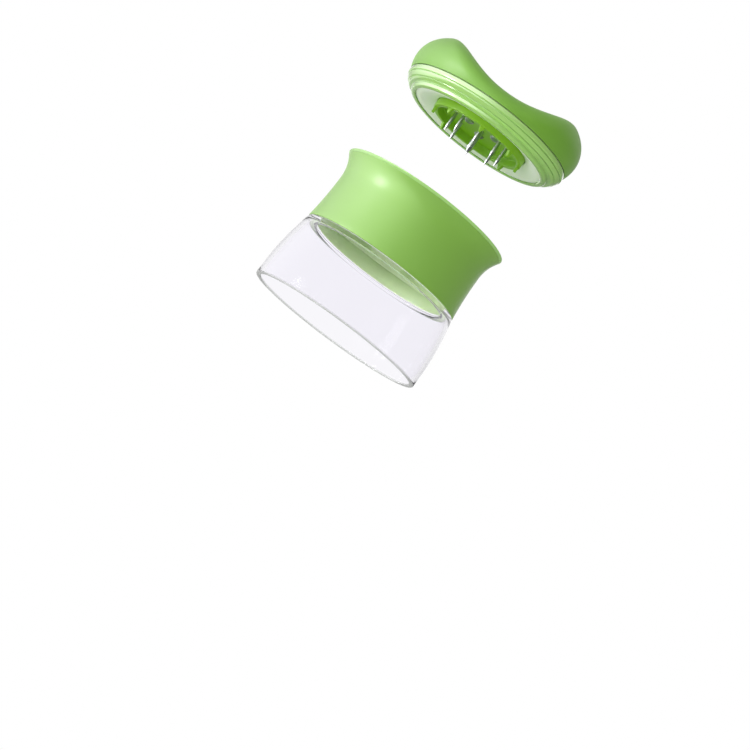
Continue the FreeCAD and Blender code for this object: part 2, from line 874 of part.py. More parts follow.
def make_group(label, original, places, height=zero):
    """Identical pieces at several places, kept together as one node."""
    links = []
    for number, (x, y) in enumerate(places):
        link = doc.addObject("App::Link", f"{original.Name}At{number}")
        link.LinkedObject = original
        link.LinkTransform = True
        tie_placement(link, x, y, height)
        links.append(link)
    group = doc.addObject("Part::Compound", original.Name + "Group")
    group.Links = links
    keep(group, label)


def make_saddle(name, inset):
    """The handle's form: a round cushion with a saddle across its top, set in from its skin by inset."""
    body = new_body(name)
    side_radius = ring_radius + mm.handle_overhang
    side_height = mm.handle_side_height
    bulge = (mm.handle_foot_step * mm.handle_foot_step + side_height * side_height) / (mm.handle_foot_step * 2)
    reach = bulge - inset
    foot = side_radius - bulge + root(reach * reach - side_height * side_height)
    revolve(body, name + "Cushion", [
        line_to(zero, ring_top),
        line_to(foot, ring_top),
        arc_to(side_radius - inset, handle_side, reach, 1),
        arc_to(side_radius - mm.handle_corner, handle_top - inset, mm.handle_corner - inset, 1),
        line_to(zero, handle_top - inset),
    ])
    radius = mm.saddle_radius + inset
    centre = ring_top + mm.saddle_height + mm.saddle_radius
    cut_top = handle_top + mm.handle_edge
    half_width = root(radius * radius - (centre - cut_top) * (centre - cut_top))
    sketch = new_sketch(body, "XZ_Plane", name + "SaddleLine")
    draw_outline(sketch, [
        line_to(-half_width, cut_top),
        arc_to(half_width, cut_top, radius, 1),
    ])
    cut = pocket(body, name + "Saddle", sketch, side_radius * 2 + mm.handle_corner)
    cut.Midplane = True
    doc.recompute()
    fillet(body, name + "Edge", saddle_edges(body.Shape), mm.handle_edge - inset)
    return body


def is_saddle(face):
    """The saddle is the only round face whose axis runs along Y."""
    return isinstance(face.Surface, Part.Cylinder) and abs(face.Surface.Axis.y) > abs(face.Surface.Axis.z)


def saddle_edges(shape):
    """The edges round the saddle's hollow."""
    names = []
    for index, edge in enumerate(shape.Edges, start=1):
        in_saddle = [is_saddle(face) for face in shape.ancestorsOfType(edge, Part.Face)]
        if any(in_saddle) and not all(in_saddle):
            names.append(f"Edge{index}")
    return names


def handle_posts(name, radius, spans):
    """Upright round posts on the ring's top face, as one solid. Each span is a place and a height."""
    posts = []
    for number, (place, height) in enumerate(spans):
        post = doc.addObject("Part::Cylinder", f"{name}{number}")
        tie(post, "Radius", radius)
        tie(post, "Height", height)
        tie_placement(post, place[0], place[1], ring_top)
        posts.append(post)
    fused = doc.addObject("Part::MultiFuse", name + "s")
    fused.Shapes = posts
    return fused


def combine(kind, name, base, tool):
    result = doc.addObject(kind, name)
    result.Base = base
    result.Tool = tool
    return result


def make_handle():
    """A soft skin over a hollow core, whose posts take the screws."""
    skin = make_saddle("HandleSkin", zero)
    core = make_saddle("HandleInner", mm.skin_thickness)
    cavity = make_saddle("HandleCavity", mm.skin_thickness + mm.core_wall)
    keep(combine("Part::Cut", "HandleGrip", skin, core), "handle_grip")
    hub_pilot = hub_screw_bite + mm.screw_end_play
    ring_pilot = mm.ring_screw_bite + mm.screw_end_play
    full = handle_top - ring_top
    places = hub_screw_places() + ring_screw_places()
    bosses = handle_posts("HandleBoss", mm.handle_boss_radius, [(place, full) for place in places])
    pilots = handle_posts("HandlePilot", screw_hole, [(place, hub_pilot) for place in hub_screw_places()]
                          + [(place, ring_pilot) for place in ring_screw_places()])
    hollow = combine("Part::Cut", "HollowCore", core, cavity)
    trimmed = combine("Part::Common", "TrimmedBosses", bosses, core)
    joined = combine("Part::Fuse", "CoreWithBosses", hollow, trimmed)
    keep(combine("Part::Cut", "HandleCore", joined, pilots), "handle_core")


make_clear_cup()
make_collar_shell()
make_grip_sleeve()
make_feed_funnel()
make_blade_carrier()
make_slicing_blade()
make_comb_blade()
make_core_cutter()
make_holder_ring()
make_guard_disc()
make_gripper_hub()
make_handle()
make_group("gripper_pins", make_pin("GripperPin", mm.pin_radius, mm.pin_reach), pin_places())
keep(make_pin("CentreSpike", mm.spike_radius, mm.spike_reach), "centre_spike")
make_group("comb_rivets", make_rivet("CombRivet"), rivet_places())
make_group("blade_screws", make_screw("BladeScrew", blade_top - blade_seat), blade_screw_places(), blade_seat)
carrier_screw = make_screw("CarrierScrew", mm.carrier_thickness + mm.carrier_screw_bite)
make_group("carrier_screws", carrier_screw, carrier_screw_places(), floor_bottom)
hub_screw = make_screw("HubScrew", mm.hub_ceiling_thickness + mm.plate_thickness + hub_screw_bite)
make_group("hub_screws", hub_screw, hub_screw_places(), hub_ceiling)
ring_screw = make_screw("RingScrew", mm.plate_thickness + mm.ring_screw_bite)
make_group("ring_screws", ring_screw, ring_screw_places(), plate_bottom)

doc.recompute()
for thing in doc.Objects:
    if "Invalid" in thing.State or "Error" in thing.State:
        raise RuntimeError(f"{thing.Name} failed: {thing.State}")

os.makedirs("parts", exist_ok=True)
for piece in pieces:
    shape = piece.Shape
    if shape.isNull() or not shape.isValid() or shape.Volume <= 0:
        raise RuntimeError(f"{piece.Label} is not a valid solid")
    shape.exportStep(f"parts/{piece.Label}.step")
    box = shape.optimalBoundingBox()
    print(f"{piece.Label}: {len(shape.Solids)} solids, {shape.Volume / 1000:.2f} cm3, "
          f"z {box.ZMin:.2f} to {box.ZMax:.2f}")
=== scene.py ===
import math

import bpy
from mathutils import Matrix, Vector


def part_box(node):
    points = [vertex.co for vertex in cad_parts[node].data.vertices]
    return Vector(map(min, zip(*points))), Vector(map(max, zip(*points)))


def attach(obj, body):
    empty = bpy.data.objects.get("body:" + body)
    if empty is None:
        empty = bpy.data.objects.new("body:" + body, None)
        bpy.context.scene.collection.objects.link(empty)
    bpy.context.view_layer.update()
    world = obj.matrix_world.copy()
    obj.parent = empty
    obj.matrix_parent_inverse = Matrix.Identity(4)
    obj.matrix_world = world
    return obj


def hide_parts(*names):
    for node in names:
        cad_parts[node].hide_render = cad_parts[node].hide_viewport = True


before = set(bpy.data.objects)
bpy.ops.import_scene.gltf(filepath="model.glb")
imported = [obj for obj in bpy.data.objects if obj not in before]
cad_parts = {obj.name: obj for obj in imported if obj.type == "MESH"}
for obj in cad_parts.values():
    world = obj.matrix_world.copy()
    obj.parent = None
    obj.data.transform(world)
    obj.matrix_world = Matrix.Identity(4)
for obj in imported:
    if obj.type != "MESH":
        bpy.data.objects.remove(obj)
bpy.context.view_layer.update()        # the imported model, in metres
mm = 0.001               # sizes below are in mm, and angles in degrees, where nothing else is said
weld = 0.001 * mm        # points nearer than this are one
crease = math.radians(32)       # edges sharper than this stay sharp under smooth shading
roundSteps = 4           # facets of a rounded corner in a section
sides = {"skin": 240, "inner": 180, "tube": 96, "screw": 48, "pin": 40}     # how many a turned piece has
print("frame loaded with", len(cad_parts), "nodes")


# The camera stands a little below the tool's own horizon, and is rolled so that the tool leans to the right.
camera = {
    "place": (25.9, -908.2, -106.0),
    "lens": 100.8,                      # on a 36 mm sensor
    "lift": 6.34,                       # how far it looks up along the tool's axis
    "roll": 36.3,
    "middle": (0, 0, 67),               # the object's middle, where the lights aim
}


def pictureAxes():
    # the picture's right, up and forward directions in the tool's frame
    lift = math.radians(camera["lift"])
    roll = math.radians(camera["roll"])
    level = Vector((1, 0, 0))
    ahead = Vector((0, math.cos(lift), math.sin(lift)))
    above = level.cross(ahead)
    right = level * math.cos(roll) + above * math.sin(roll)
    up = above * math.cos(roll) - level * math.sin(roll)
    return right, up, ahead


def addCamera():
    right, up, ahead = pictureAxes()
    bpy.ops.object.camera_add()
    made = bpy.context.object
    made.data.lens = camera["lens"]
    aimed = Matrix((right, up, -ahead)).transposed().to_4x4()
    made.matrix_world = Matrix.Translation(Vector(camera["place"]) * mm) @ aimed
    bpy.context.scene.camera = made


addCamera()
print("camera placed")


def hexColour(code):
    # sRGB hex to the linear colour that the shaders take
    shares = [int(code[start:start + 2], 16) / 255 for start in (1, 3, 5)]
    return [share / 12.92 if share <= 0.04045 else ((share + 0.055) / 1.055) ** 2.4 for share in shares] + [1]


def addNode(tree, kind, settings=None, inputs=None):
    # inputs are values or other nodes' outputs, by the socket's name or number
    node = tree.nodes.new(kind)
    for name, value in (settings or {}).items():
        setattr(node, name, value)
    for name, value in (inputs or {}).items():
        if isinstance(value, bpy.types.NodeSocket):
            tree.links.new(value, node.inputs[name])
        else:
            node.inputs[name].default_value = value
    return node


# A Mix node's colour sockets share their names with its others, so they go by number.
mixShare, mixDeep, mixLight, mixed = 0, 6, 7, 2

# The studio: a white room, a softbox from the upper left that glossy skins mirror, a matt fill from the
# front, and a pale floor far below that glows with painted light.
studio = {
    "keyFrom": (-0.76, 0.50, 0.38),     # right, up and towards the camera
    "fillFrom": (-0.45, 0.38, 0.81),
    "lightDistance": 900,
    "keySize": 260,
    "fillSize": 400,
    "keyPower": 3.2,
    "fillPower": 1.3,
    "roomBright": 0.67,
    "roomBehind": 1.25,                 # the sweep behind the object
    "axisDim": 0.86,                    # what clear plastic bends in from above and below
    "glossDark": 0.5,                   # what glossy skins mirror away from the softbox, and towards it
    "glossBright": 3.5,
    "glossFloor": 0.11,
    "floorDrop": 950,                   # below the object's middle, as the picture stands
    "floorLeft": 1.54,                  # the floor is brighter on the softbox's side
    "floorRight": 0.4,
    "floorSpread": 1200,                # to each side, over which it dims
    "floorRadius": 20,                  # m
    "axisReach": (0.5, 0.9),            # cosines to the tool's axis between which clear plastic dims
    "keyReach": -0.2,                   # cosine to the softbox from which the mirrored room brightens
    "glanceReach": (0.9, 0.99),         # cosines to the view between which a mirror finds the white sweep
    "glanceFloor": (2.5, 8),            # m behind the object between which a mirrored floor turns white
}


def aim(light, target):
    direction = (target - light.location).normalized()
    light.rotation_euler = direction.to_track_quat("-Z", "Y").to_euler()


def fromPicture(place):
    # a direction given as right, up and towards the camera, in the tool's frame
    right, up, ahead = pictureAxes()
    across, above, nearer = place
    return (right * across + up * above - ahead * nearer).normalized()


def addSoftbox(name, place, size, power):
    middle = Vector(camera["middle"]) * mm
    bpy.ops.object.light_add(type="AREA", location=middle + fromPicture(place) * studio["lightDistance"] * mm)
    light = bpy.context.object
    light.name = name
    light.data.shape = "SQUARE"
    light.data.size = size * mm
    light.data.energy = power
    aim(light, middle)
    return light


def litSky():
    # Camera rays see a white sweep all round, and so does clear plastic, a little dimmer along the tool's
    # axis. The other plastics are lit by a white room. What they mirror brightens towards the softbox, and at
    # a glancing angle it is the white sweep behind the object.
    world = bpy.data.worlds.new("studioSky")
    world.use_nodes = True
    bpy.context.scene.world = world
    tree = world.node_tree
    tree.nodes.clear()
    direction = addNode(tree, "ShaderNodeTexCoord").outputs["Generated"]
    height = addNode(tree, "ShaderNodeSeparateXYZ", inputs={"Vector": direction})
    slope = addNode(tree, "ShaderNodeMath", {"operation": "ABSOLUTE"}, {0: height.outputs["Z"]})
    dimFrom, dimTo = studio["axisReach"]
    clear = addNode(tree, "ShaderNodeMapRange", {"interpolation_type": "SMOOTHSTEP"}, {
        "Value": slope.outputs["Value"], "From Min": dimFrom, "From Max": dimTo,
        "To Min": 1, "To Max": studio["axisDim"],
    })
    facing = addNode(tree, "ShaderNodeVectorMath", {"operation": "DOT_PRODUCT"}, {
        0: direction, 1: fromPicture(studio["keyFrom"]),
    })
    nearing = addNode(tree, "ShaderNodeMapRange", {"interpolation_type": "SMOOTHSTEP"}, {
        "Value": facing.outputs["Value"], "From Min": studio["keyReach"], "From Max": 1,
    })
    squared = addNode(tree, "ShaderNodeMath", {"operation": "POWER"}, {0: nearing.outputs["Result"], 1: 2})
    away = addNode(tree, "ShaderNodeVectorMath", {"operation": "DOT_PRODUCT"}, {
        0: direction, 1: -fromPicture((0, 0, 1)),
    })
    glanceFrom, glanceTo = studio["glanceReach"]
    glancing = addNode(tree, "ShaderNodeMapRange", {"interpolation_type": "SMOOTHSTEP"}, {
        "Value": away.outputs["Value"], "From Min": glanceFrom, "From Max": glanceTo,
        "To Min": studio["glossDark"], "To Max": 1,
    })
    mirrored = addNode(tree, "ShaderNodeMapRange", inputs={
        "Value": squared.outputs["Value"],
        "To Min": glancing.outputs["Result"], "To Max": studio["glossBright"],
    })
    rays = addNode(tree, "ShaderNodeLightPath")
    room = addNode(tree, "ShaderNodeMapRange", {"interpolation_type": "SMOOTHSTEP"}, {
        "Value": away.outputs["Value"], "To Min": studio["roomBright"], "To Max": studio["roomBehind"],
    })
    skin = addNode(tree, "ShaderNodeMix", {"data_type": "FLOAT"}, {
        "Factor": rays.outputs["Is Glossy Ray"], "A": room.outputs["Result"], "B": mirrored.outputs["Result"],
    })
    through = addNode(tree, "ShaderNodeMix", {"data_type": "FLOAT"}, {
        "Factor": rays.outputs["Is Transmission Ray"],
        "A": skin.outputs["Result"], "B": clear.outputs["Result"],
    })
    seen = addNode(tree, "ShaderNodeMix", {"data_type": "FLOAT"}, {
        "Factor": rays.outputs["Is Camera Ray"], "A": through.outputs["Result"], "B": 1,
    })
    glow = addNode(tree, "ShaderNodeBackground", inputs={
        "Color": (1, 1, 1, 1), "Strength": seen.outputs["Result"],
    })
    addNode(tree, "ShaderNodeOutputWorld", inputs={"Surface": glow.outputs["Background"]})


def addFloor():
    # pale paper that lies level with the picture, and far enough off that no view passes under it; it is a
    # glowing sheet whose glow is painted light, brighter on the softbox's side
    right, up, ahead = pictureAxes()
    material = bpy.data.materials.new("paperFloorPaintedGlow")
    material.use_nodes = True
    tree = material.node_tree
    tree.nodes.clear()
    rays = addNode(tree, "ShaderNodeLightPath")
    seen = addNode(tree, "ShaderNodeMath", {"operation": "MAXIMUM"}, {
        0: rays.outputs["Is Camera Ray"], 1: rays.outputs["Is Transmission Ray"],
    })
    place = addNode(tree, "ShaderNodeTexCoord").outputs["Object"]
    sideways = addNode(tree, "ShaderNodeVectorMath", {"operation": "DOT_PRODUCT"}, {0: place, 1: right})
    dimming = addNode(tree, "ShaderNodeMapRange", {"interpolation_type": "SMOOTHSTEP"}, {
        "Value": sideways.outputs["Value"], "From Min": -studio["floorSpread"] * mm,
        "From Max": studio["floorSpread"] * mm, "To Min": studio["floorLeft"], "To Max": studio["floorRight"],
    })
    behind = addNode(tree, "ShaderNodeVectorMath", {"operation": "DOT_PRODUCT"}, {0: place, 1: ahead})
    near, far = studio["glanceFloor"]
    glancing = addNode(tree, "ShaderNodeMapRange", {"interpolation_type": "SMOOTHSTEP"}, {
        "Value": behind.outputs["Value"], "From Min": near, "From Max": far,
        "To Min": studio["glossFloor"], "To Max": 1,
    })
    skin = addNode(tree, "ShaderNodeMix", {"data_type": "FLOAT"}, {
        "Factor": rays.outputs["Is Glossy Ray"],
        "A": dimming.outputs["Result"], "B": glancing.outputs["Result"],
    })
    bounce = addNode(tree, "ShaderNodeMix", {"data_type": "FLOAT"}, {
        "Factor": seen.outputs["Value"], "A": skin.outputs["Result"], "B": 1,
    })
    # the floor's glow is painted light that stands in for the light falling on the paper
    glow = addNode(tree, "ShaderNodeEmission", inputs={"Strength": bounce.outputs["Result"]})
    addNode(tree, "ShaderNodeOutputMaterial", inputs={"Surface": glow.outputs["Emission"]})
    bpy.ops.mesh.primitive_circle_add(vertices=96, radius=studio["floorRadius"], fill_type="NGON")
    floor = bpy.context.object
    floor.name = "paleFloor"
    floor.data.materials.append(material)
    level = Matrix((right, -ahead, up)).transposed().to_4x4()
    centre = Vector(camera["middle"]) * mm - up * studio["floorDrop"] * mm
    floor.data.transform(Matrix.Translation(centre) @ level)


key = addSoftbox("keySoftbox", studio["keyFrom"], studio["keySize"], studio["keyPower"])
key.visible_diffuse = False         # it is only mirrored
fill = addSoftbox("fillSoftbox", studio["fillFrom"], studio["fillSize"], studio["fillPower"])
fill.visible_glossy = False         # it only lights
litSky()
addFloor()
bpy.context.scene.view_settings.view_transform = "Standard"
print("studio lit")


def startMaterial(name):
    material = bpy.data.materials.new(name)
    material.use_nodes = True
    material.node_tree.nodes.clear()
    place = addNode(material.node_tree, "ShaderNodeTexCoord").outputs["Object"]
    return material, material.node_tree, place


def finishMaterial(tree, surface):
    addNode(tree, "ShaderNodeOutputMaterial", inputs={"Surface": surface.outputs["BSDF"]})


noiseReach = (0.3, 0.7)     # most of a noise's values lie between these


def mouldedPlastic(name, look):
    # Pigmented plastic from a polished or spark-eroded mould: the colour drifts slightly, the gloss is uneven
    # where it cooled, and the skin keeps the mould's fine grain.
    material, tree, place = startMaterial(name)
    drift = addNode(tree, "ShaderNodeTexNoise", inputs={
        "Vector": place, "Scale": 1 / (look["driftSize"] * mm), "Detail": 2,
    })
    colour = addNode(tree, "ShaderNodeMix", {"data_type": "RGBA"}, {
        mixShare: drift.outputs["Fac"], mixDeep: hexColour(look["deep"]), mixLight: hexColour(look["light"]),
    })
    cooled = addNode(tree, "ShaderNodeTexNoise", inputs={
        "Vector": place, "Scale": 1 / (look["coolSize"] * mm), "Detail": 3,
    })
    gloss = addNode(tree, "ShaderNodeMapRange", inputs={
        "Value": cooled.outputs["Fac"], "From Min": noiseReach[0], "From Max": noiseReach[1],
        "To Min": look["roughness"] - look["uneven"], "To Max": look["roughness"] + look["uneven"],
    })
    grain = addNode(tree, "ShaderNodeTexNoise", inputs={
        "Vector": place, "Scale": 1 / (look["grainSize"] * mm), "Detail": 2,
    })
    skin = addNode(tree, "ShaderNodeBump", inputs={
        "Height": grain.outputs["Fac"], "Strength": look["grainStrength"],
        "Distance": look["grainDepth"] * mm,
    })
    sink = addNode(tree, "ShaderNodeBump", inputs={
        "Height": cooled.outputs["Fac"], "Strength": look["sinkStrength"], "Distance": look["sinkDepth"] * mm,
        "Normal": skin.outputs["Normal"],
    })
    surface = addNode(tree, "ShaderNodeBsdfPrincipled", inputs={
        "Base Color": colour.outputs[mixed], "Roughness": gloss.outputs["Result"], "IOR": look["ior"],
        "Subsurface Weight": look["bleed"], "Subsurface Radius": look["bleedReach"],
        "Subsurface Scale": look["bleedDepth"] * mm, "Sheen Weight": look["sheen"],
        "Coat Weight": look["coat"], "Coat Roughness": look["coatRough"], "Normal": sink.outputs["Normal"],
    })
    finishMaterial(tree, surface)
    return material


# Thermoplastic elastomer moulded over the collar: satin, with a soft bloom that pales towards the light.
softGripLook = {
    "deep": "#82b93c", "light": "#88bf43", "driftSize": 30, "coolSize": 9, "roughness": 0.45, "uneven": 0.03,
    "grainSize": 0.35, "grainStrength": 0.12, "grainDepth": 0.02, "sinkStrength": 0.1, "sinkDepth": 0.05,
    "ior": 1.7, "bleed": 0.12, "bleedDepth": 1.2, "bleedReach": (1.0, 1.0, 0.5), "sheen": 0.12, "coat": 0.35,
    "coatRough": 0.24,
}
# The same elastomer over the handle's core, a thicker skin and a deeper green.
softHandleLook = dict(
    softGripLook, deep="#6da919", light="#73af20", roughness=0.5, ior=1.72, sheen=0.15, coat=0,
)
# ABS from a polished mould, pale lime and glossy, with the slight waviness of a thin wall.
glossLimeLook = dict(
    softGripLook, deep="#a7d971", light="#addf79", roughness=0.22, uneven=0.04, grainStrength=0.02,
    sinkStrength=0.16, sinkDepth=0.06, ior=2.0, bleed=0.2, sheen=0, coat=1.0, coatRough=0.08,
)
# ABS from a satin mould, for the funnel and its rim.
satinRimLook = dict(
    softGripLook, deep="#a4d676", light="#aadb7d", roughness=0.34, ior=1.6, sheen=0, coat=0.4,
)
# ABS for the collar's rigid shell, drawn near white: painted light for the bright inside of the collar under
# the clear neck.
shellPaintedLightLook = dict(satinRimLook, deep="#e1fdba", light="#e5fec1", roughness=0.3, coat=0)
# Polypropylene for the guard disc: pale, waxy and a little grey.
discLook = dict(
    satinRimLook, deep="#e8f3dd", light="#edf7e3", roughness=0.33, grainStrength=0.05, bleed=0.15, coat=0,
)
# Nylon for the toothed hub, satin and deep green.
hubLook = dict(satinRimLook, deep="#82b91a", light="#88bf20", roughness=0.36, ior=1.45, coat=0)


# Styrene-acrylonitrile from a polished mould: water clear with a faint lavender cast in its thickness, a
# barely wavy skin that breaks up the reflections, and a foot drawn rough, less clear and grey: painted shade
# for the dark line at the clear foot's edge.
# The index and the tint of what it mirrors are lower than the real ones, which keeps its edge lines faint.
clearSanLook = {
    "clear": "#f8f7fb", "footShadeGrey": "#a2a69f", "mirrorTint": "#707070", "ior": 1.2, "waveSize": 14,
    "waveStrength": 0.12, "waveDepth": 0.05, "rubSize": 3, "rubReach": (0.35, 0.75), "rubRoughness": 0.03,
    "footReach": (0.1, 1.2), "footRoughness": 0.45, "footClearness": 0.3,
}


def clearPlastic(name, look):
    material, tree, place = startMaterial(name)
    waves = addNode(tree, "ShaderNodeTexNoise", inputs={
        "Vector": place, "Scale": 1 / (look["waveSize"] * mm), "Detail": 1,
    })
    skin = addNode(tree, "ShaderNodeBump", inputs={
        "Height": waves.outputs["Fac"], "Strength": look["waveStrength"], "Distance": look["waveDepth"] * mm,
    })
    rubs = addNode(tree, "ShaderNodeTexNoise", inputs={
        "Vector": place, "Scale": 1 / (look["rubSize"] * mm), "Detail": 3,
    })
    rubLow, rubHigh = look["rubReach"]
    haze = addNode(tree, "ShaderNodeMapRange", inputs={
        "Value": rubs.outputs["Fac"], "From Min": rubLow, "From Max": rubHigh,
        "To Min": 0.0, "To Max": look["rubRoughness"],
    })
    height = addNode(tree, "ShaderNodeSeparateXYZ", inputs={"Vector": place}).outputs["Z"]
    footLow, footHigh = look["footReach"]
    scuff = addNode(tree, "ShaderNodeMapRange", {"interpolation_type": "SMOOTHSTEP"}, {
        "Value": height, "From Min": footLow * mm, "From Max": footHigh * mm,
        "To Min": look["footRoughness"], "To Max": 0.0,
    })
    worn = addNode(tree, "ShaderNodeMath", {"operation": "MAXIMUM"}, {
        0: haze.outputs["Result"], 1: scuff.outputs["Result"],
    })
    clearness = addNode(tree, "ShaderNodeMapRange", {"interpolation_type": "SMOOTHSTEP"}, {
        "Value": height, "From Min": footLow * mm, "From Max": footHigh * mm,
        "To Min": look["footClearness"], "To Max": 1.0,
    })
    # the foot's grey and its lower clearness are painted shade for the dark line at the clear foot's edge
    colour = addNode(tree, "ShaderNodeMix", {"data_type": "RGBA"}, {
        mixShare: clearness.outputs["Result"],
        mixDeep: hexColour(look["footShadeGrey"]), mixLight: hexColour(look["clear"]),
    })
    surface = addNode(tree, "ShaderNodeBsdfPrincipled", inputs={
        "Base Color": colour.outputs[mixed], "Roughness": worn.outputs["Value"], "IOR": look["ior"],
        "Specular Tint": hexColour(look["mirrorTint"]),
        "Transmission Weight": clearness.outputs["Result"], "Normal": skin.outputs["Normal"],
    })
    finishMaterial(tree, surface)
    return material


def groundSteel(name, look):
    # Stainless steel finished on a belt: fine parallel scratches along one direction.
    material, tree, place = startMaterial(name)
    stretched = addNode(tree, "ShaderNodeMapping", inputs={"Vector": place, "Scale": look["stretch"]})
    scratches = addNode(tree, "ShaderNodeTexNoise", inputs={
        "Vector": stretched.outputs["Vector"], "Scale": 1 / (look["scratchWidth"] * mm), "Detail": 3,
    })
    tone = addNode(tree, "ShaderNodeMix", {"data_type": "RGBA"}, {
        mixShare: scratches.outputs["Fac"],
        mixDeep: hexColour(look["deep"]), mixLight: hexColour(look["light"]),
    })
    gloss = addNode(tree, "ShaderNodeMapRange", inputs={
        "Value": scratches.outputs["Fac"], "To Min": look["smooth"], "To Max": look["rough"],
    })
    skin = addNode(tree, "ShaderNodeBump", inputs={
        "Height": scratches.outputs["Fac"], "Strength": look["scratchStrength"],
        "Distance": look["scratchDepth"] * mm,
    })
    surface = addNode(tree, "ShaderNodeBsdfPrincipled", inputs={
        "Base Color": tone.outputs[mixed], "Metallic": 1.0, "Roughness": gloss.outputs["Result"],
        "Normal": skin.outputs["Normal"],
    })
    finishMaterial(tree, surface)
    return material


# The scratches are drawn 0.3 mm wide, coarser than real ones, so that they show.
bladeLook = {
    "deep": "#b4b8bb", "light": "#dfe2e4", "smooth": 0.2, "rough": 0.34, "scratchWidth": 0.3,
    "scratchStrength": 0.15, "scratchDepth": 0.01, "stretch": (0.05, 1, 1),
}
turnedLook = dict(
    bladeLook, deep="#a9adb0", light="#d6d9db", smooth=0.24, rough=0.38, stretch=(0.2, 0.2, 1),
)

softGrip = mouldedPlastic("softGripElastomer", softGripLook)
softHandle = mouldedPlastic("softHandleElastomer", softHandleLook)
glossLime = mouldedPlastic("glossLimeAbs", glossLimeLook)
satinRim = mouldedPlastic("satinRimAbs", satinRimLook)
# the shell's near-white colour is painted light
shellPaintedLightAbs = mouldedPlastic("shellPaintedLightAbs", shellPaintedLightLook)
paleDisc = mouldedPlastic("paleDiscPolypropylene", discLook)
hubNylon = mouldedPlastic("hubNylon", hubLook)
clearSan = clearPlastic("clearMouldedSan", clearSanLook)
bladeSteel = groundSteel("groundBladeSteel", bladeLook)
turnedSteel = groundSteel("turnedStainless", turnedLook)
print("materials made")


def selectOnly(piece):
    bpy.ops.object.select_all(action="DESELECT")
    piece.select_set(True)
    bpy.context.view_layer.objects.active = piece


def boxOf(node):
    # the node's outer radius, bottom and top, in mm
    low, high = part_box(node)
    return high.x / mm, low.z / mm, high.z / mm


def selectPlaces(piece, places):
    # selects the section's vertices that lie at the given radii and heights
    bpy.ops.mesh.select_all(action="DESELECT")
    bpy.ops.object.mode_set(mode="OBJECT")
    for vertex in piece.data.vertices:
        for radius, height in places:
            if abs(vertex.co.x - radius * mm) < weld and abs(vertex.co.z - height * mm) < weld:
                vertex.select = True
    bpy.ops.object.mode_set(mode="EDIT")


def drawSection(name, section):
    # Draws a section by extruding one vertex from corner to corner, then rounds the corners that have a third
    # number. A section that starts off the axis is closed.
    bpy.ops.object.select_all(action="DESELECT")
    bpy.ops.mesh.primitive_plane_add(size=mm)
    piece = bpy.context.object
    piece.name = piece.data.name = name
    bpy.ops.object.mode_set(mode="EDIT")
    bpy.ops.mesh.select_mode(type="VERT")
    bpy.ops.mesh.select_all(action="SELECT")
    bpy.ops.mesh.merge(type="CENTER")
    corners = [Vector((corner[0] * mm, 0, corner[1] * mm)) for corner in section]
    if section[0][0] > 0:
        corners.append(corners[0])
    bpy.ops.transform.translate(value=corners[0])
    for before, after in zip(corners, corners[1:]):
        bpy.ops.mesh.extrude_vertices_move(TRANSFORM_OT_translate={"value": after - before})
    bpy.ops.mesh.select_all(action="SELECT")
    bpy.ops.mesh.remove_doubles(threshold=weld)
    for rounding in sorted({corner[2] for corner in section if len(corner) > 2}):
        selectPlaces(piece, [corner[:2] for corner in section if corner[2:] == (rounding,)])
        bpy.ops.mesh.bevel(offset=rounding * mm, segments=roundSteps, affect="VERTICES")
    return piece


def turnSection(piece, steps):
    # spins the section round the tool's axis and closes it at its seam and poles
    bpy.ops.mesh.select_all(action="SELECT")
    bpy.ops.mesh.spin(steps=steps, angle=2 * math.pi, center=(0, 0, 0), axis=(0, 0, 1))
    bpy.ops.mesh.select_all(action="SELECT")
    bpy.ops.mesh.remove_doubles(threshold=weld)
    bpy.ops.mesh.normals_make_consistent(inside=False)
    bpy.ops.object.mode_set(mode="OBJECT")
    bpy.ops.object.shade_smooth_by_angle(angle=crease)
    return piece


def turned(name, section, steps=sides["inner"]):
    return turnSection(drawSection(name, section), steps)


def setPiece(piece, material, body, slot, *nodes):
    # gives a finished piece its material and its body, and hides the nodes that it stands for
    piece.data.materials.clear()
    piece.data.materials.append(material)
    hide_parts(*nodes)
    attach(piece, body)
    print("made", piece.name)


def bendCurve(start, lean, radius, rises):
    # points on a round bend that leaves start upright and leans outwards (1) or inwards (-1)
    return [(start[0] + lean * (radius - math.sqrt(radius * radius - rise * rise)), start[1] + rise)
            for rise in rises]


def evenRises(first, last, steps):
    return [first + (last - first) * step / steps for step in range(steps + 1)]


# The clear cup, which clicks into the collar's foot by its neck.
cup = {
    "footHeight": 5.0, "footWidth": 2.4, "wall": 2.0, "edge": 0.8, "topRadius": 38.8, "shoulder": 2.0,
    "shoulderEdge": 0.2, "gap": 0.1, "neckRadius": 34.85, "neckWall": 1.4, "neckEdge": 0.3, "boreEdge": 0.4,
    "beadRise": 6.0, "beadWidth": 1.6, "beadDepth": 0.4, "bellSteps": 12,
}


